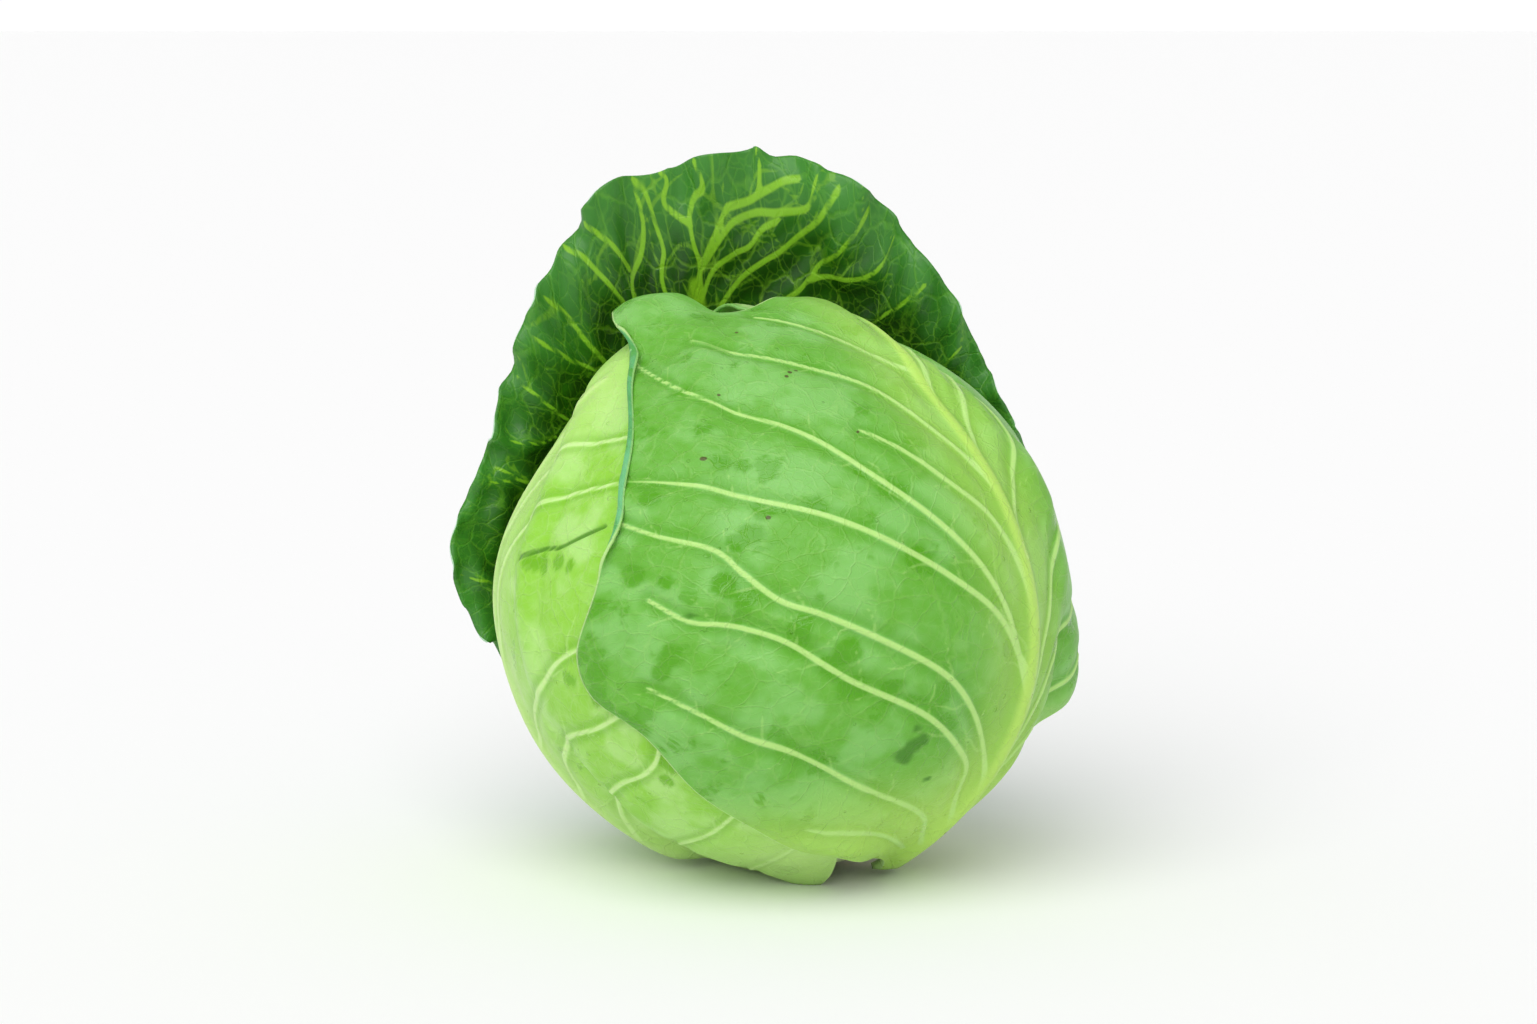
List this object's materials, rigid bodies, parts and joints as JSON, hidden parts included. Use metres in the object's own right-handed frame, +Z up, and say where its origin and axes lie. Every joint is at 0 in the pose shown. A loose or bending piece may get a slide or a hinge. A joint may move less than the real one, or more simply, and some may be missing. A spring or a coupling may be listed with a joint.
{
  "type": "cabbage head",
  "caption": "Round green cabbage head with a cut stem, tight wrapper leaves and one dark cupped outer leaf standing behind it, resting on a small flat spot.",
  "frame": {"origin": "on the surface, in the middle of the small flat spot that the head rests on", "axes": "+Z up, -Y the front of the head as the picture shows it, +X to the right"},
  "size_m": [0.1975, 0.1849, 0.2224],
  "materials": {
    "heart_leaves": "waxy leaf, pale yellow green",
    "cut_stem": "cut plant stem, dry and pale",
    "wrapper_leaf": "waxy leaf, light green with pale veins",
    "front_leaf": "waxy leaf, mid green with a blue bloom and pale veins",
    "outer_leaf": "waxy leaf, dark green with yellow green veins"
  },
  "bodies": {
    "root": {"heart": "heart_leaves", "stem": "cut_stem", "leaf_crown": "wrapper_leaf", "leaf_rear_left": "wrapper_leaf", "leaf_rear_right": "wrapper_leaf", "leaf_left": "wrapper_leaf", "leaf_front": "front_leaf", "leaf_outer": "outer_leaf"}
  },
  "joints": []
}
